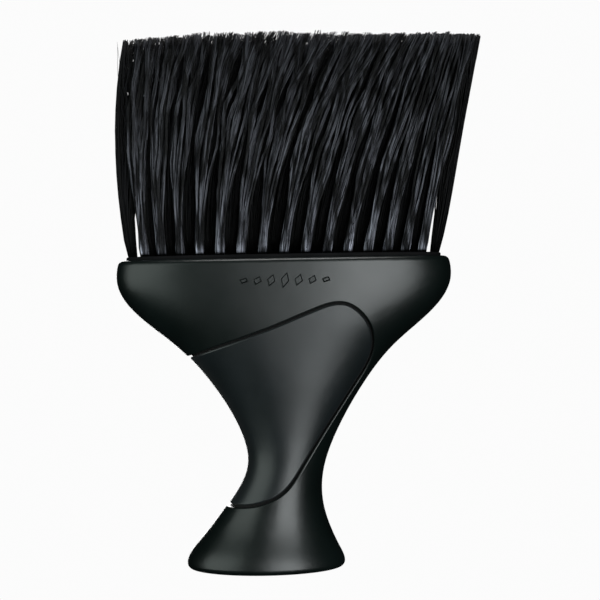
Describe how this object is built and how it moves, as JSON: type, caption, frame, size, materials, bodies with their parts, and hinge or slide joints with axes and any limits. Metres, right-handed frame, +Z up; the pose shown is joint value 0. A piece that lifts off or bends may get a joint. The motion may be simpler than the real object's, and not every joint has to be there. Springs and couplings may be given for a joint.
{
  "type": "neck duster brush",
  "caption": "Wide flat duster brush with swept black bristle tufts on a waisted handle that stands on its foot.",
  "frame": {"origin": "centre of the foot's flat underside", "axes": "+Z up from the foot to the bristle tips, +X towards the side that the bristles lean to, -Y towards the decorated front"},
  "size_m": [0.1212, 0.034, 0.175],
  "materials": {
    "hard_black": "satin",
    "soft_grip": "matte",
    "block_black": "matte",
    "bristle": "satin",
    "staple_steel": "satin"
  },
  "bodies": {
    "handle": {"handle_body": "hard_black", "grip": "soft_grip", "bristle_block": "block_black", "tuft_roots": "bristle", "staples": "staple_steel"},
    "front_row": {"tuft_front_01": "bristle", "tuft_front_02": "bristle", "tuft_front_03": "bristle", "tuft_front_04": "bristle", "tuft_front_05": "bristle", "tuft_front_06": "bristle", "tuft_front_07": "bristle", "tuft_front_08": "bristle", "tuft_front_09": "bristle", "tuft_front_10": "bristle", "tuft_front_11": "bristle", "tuft_front_12": "bristle", "tuft_front_13": "bristle", "tuft_front_14": "bristle", "tuft_front_15": "bristle"},
    "middle_row": {"tuft_middle_01": "bristle", "tuft_middle_02": "bristle", "tuft_middle_03": "bristle", "tuft_middle_04": "bristle", "tuft_middle_05": "bristle", "tuft_middle_06": "bristle", "tuft_middle_07": "bristle", "tuft_middle_08": "bristle", "tuft_middle_09": "bristle", "tuft_middle_10": "bristle", "tuft_middle_11": "bristle", "tuft_middle_12": "bristle", "tuft_middle_13": "bristle", "tuft_middle_14": "bristle", "tuft_middle_15": "bristle", "tuft_middle_16": "bristle"},
    "back_row": {"tuft_back_01": "bristle", "tuft_back_02": "bristle", "tuft_back_03": "bristle", "tuft_back_04": "bristle", "tuft_back_05": "bristle", "tuft_back_06": "bristle", "tuft_back_07": "bristle", "tuft_back_08": "bristle", "tuft_back_09": "bristle", "tuft_back_10": "bristle", "tuft_back_11": "bristle", "tuft_back_12": "bristle", "tuft_back_13": "bristle", "tuft_back_14": "bristle", "tuft_back_15": "bristle"}
  },
  "joints": [
    {"name": "middle_row_flex", "type": "hinge", "parent": "handle", "child": "middle_row", "pos_m": [0.0075, 0, 0.1036], "axis": [1, 0, 0], "range_deg": [-20, 20], "stiffness_Nm_per_rad": 0.1},
    {"name": "front_row_flex", "type": "hinge", "parent": "handle", "child": "front_row", "pos_m": [0.0075, -0.0072, 0.1036], "axis": [1, 0, 0], "range_deg": [-20, 20], "stiffness_Nm_per_rad": 0.1},
    {"name": "back_row_flex", "type": "hinge", "parent": "handle", "child": "back_row", "pos_m": [0.0075, 0.0072, 0.1036], "axis": [1, 0, 0], "range_deg": [-20, 20], "stiffness_Nm_per_rad": 0.1}
  ],
  "couplings": [
    {"joint": "front_row_flex", "follows": "middle_row_flex", "ratio": 1},
    {"joint": "back_row_flex", "follows": "middle_row_flex", "ratio": 1}
  ]
}
